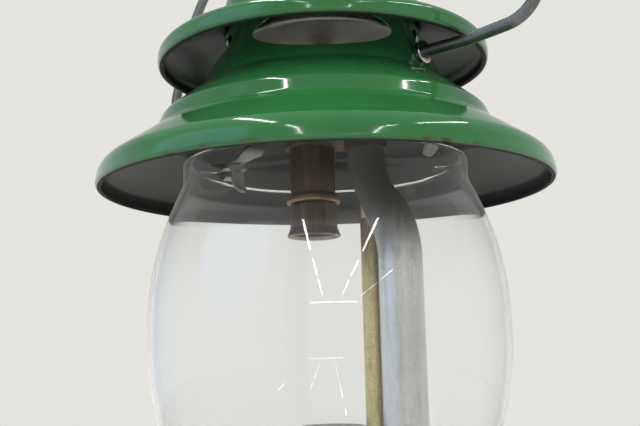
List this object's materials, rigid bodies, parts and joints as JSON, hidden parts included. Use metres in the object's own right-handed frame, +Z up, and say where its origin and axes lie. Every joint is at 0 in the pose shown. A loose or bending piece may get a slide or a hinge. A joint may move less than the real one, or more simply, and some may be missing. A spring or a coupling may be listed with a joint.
{
  "type": "camping lantern",
  "caption": "Pressure camping lantern: round fuel fount with pump, clear barrel globe around a burner and air tube, two-tier green enamelled ventilator and a swinging wire bail.",
  "frame": {"origin": "middle of the foot ring, on the surface the lantern stands on", "axes": "+Z up along the lantern's axis; -Y the front, with the control wheel, generator and air tube; +X the pump's side"},
  "size_m": [0.166, 0.1724, 0.3706],
  "materials": {
    "aluminium": "turned",
    "black_plastic": "satin",
    "brass": "dulled",
    "bright_steel": "bright plated",
    "burnt_steel": "browned by heat",
    "clear_glass": "clear, bare of print",
    "cork_rubber": "matt",
    "green_enamel": "gloss vitreous enamel, dark grey inside",
    "green_paint": "gloss",
    "grey_steel": "satin plated sheet and tube",
    "leather": "oiled",
    "nickel": "bright nickel plate",
    "zinc_wire": "zinc plated wire"
  },
  "bodies": {
    "lantern": {"fount_shell": "green_paint", "fount_bottom": "green_paint", "valve_boss": "brass", "fuel_pickup_tube": "brass", "filler_neck": "brass", "pump_tube": "brass", "check_valve": "brass", "pump_cap": "nickel", "valve_body": "brass", "packing_nut": "brass", "generator_tube": "brass", "generator_tip": "brass", "generator_nut": "brass", "collar": "nickel", "frame_strap": "grey_steel", "globe_rest": "grey_steel", "heat_shield": "grey_steel", "globe": "clear_glass", "air_tube": "grey_steel", "mixing_collar": "grey_steel", "burner_manifold": "burnt_steel", "burner_tube": "burnt_steel", "burner_collar": "burnt_steel", "burner_cap": "burnt_steel", "burner_screen": "burnt_steel", "crossbar": "bright_steel", "top_stud": "bright_steel", "ventilator_body": "green_enamel", "ventilator_hood": "green_enamel", "baffle_plate": "grey_steel", "bail_eyelets": "bright_steel"},
    "bail": {"bail": "zinc_wire"},
    "control": {"valve_stem": "brass", "valve_wheel": "black_plastic", "wheel_screw": "bright_steel"},
    "lever": {"cleaning_lever": "bright_steel"},
    "cleaner": {"cleaning_rod": "bright_steel"},
    "pump_stem": {"air_stem": "bright_steel"},
    "plunger": {"plunger_rod": "bright_steel", "plunger_knob": "aluminium", "leather_nut": "brass", "pump_leather": "leather"},
    "fuel_cap": {"filler_cap": "nickel", "filler_gasket": "cork_rubber"},
    "top_nut": {"ball_nut": "nickel"}
  },
  "joints": [
    {"name": "bail_swing", "type": "hinge", "parent": "lantern", "child": "bail", "pos_m": [0, 0, 0.2672], "axis": [0, 1, 0], "range_deg": [-153, 123]},
    {"name": "control_turn", "type": "hinge", "parent": "lantern", "child": "control", "pos_m": [0, 0, 0.0977], "axis": [0, -1, 0], "range_deg": [0, 720]},
    {"name": "lever_turn", "type": "hinge", "parent": "lantern", "child": "lever", "pos_m": [0, 0, 0.1072], "axis": [0, -1, 0], "range_deg": [-45, 45]},
    {"name": "cleaner_lift", "type": "slide", "parent": "lantern", "child": "cleaner", "axis": [0, 0, 1], "range_m": [-0.00056, 0.00056]},
    {"name": "pump_stem_turn", "type": "hinge", "parent": "lantern", "child": "pump_stem", "pos_m": [0.06149, -0.0355, 0.07813], "axis": [0.4075, -0.2353, 0.8824], "range_deg": [0, 360]},
    {"name": "pump_stroke", "type": "slide", "parent": "pump_stem", "child": "plunger", "axis": [0.4075, -0.2353, 0.8824], "range_m": [0, 0.045]},
    {"name": "fuel_cap_turn", "type": "hinge", "parent": "lantern", "child": "fuel_cap", "pos_m": [-0.06719, -0.02445, 0.07787], "axis": [-0.4422, -0.161, 0.8824], "range_deg": [0, 720]},
    {"name": "top_nut_turn", "type": "hinge", "parent": "lantern", "child": "top_nut", "pos_m": [0, 0, 0.3006], "axis": [0, 0, 1], "range_deg": [0, 720]}
  ],
  "couplings": [
    {"joint": "lever_turn", "follows": "cleaner_lift", "rad_per_m": 1388.9}
  ]
}
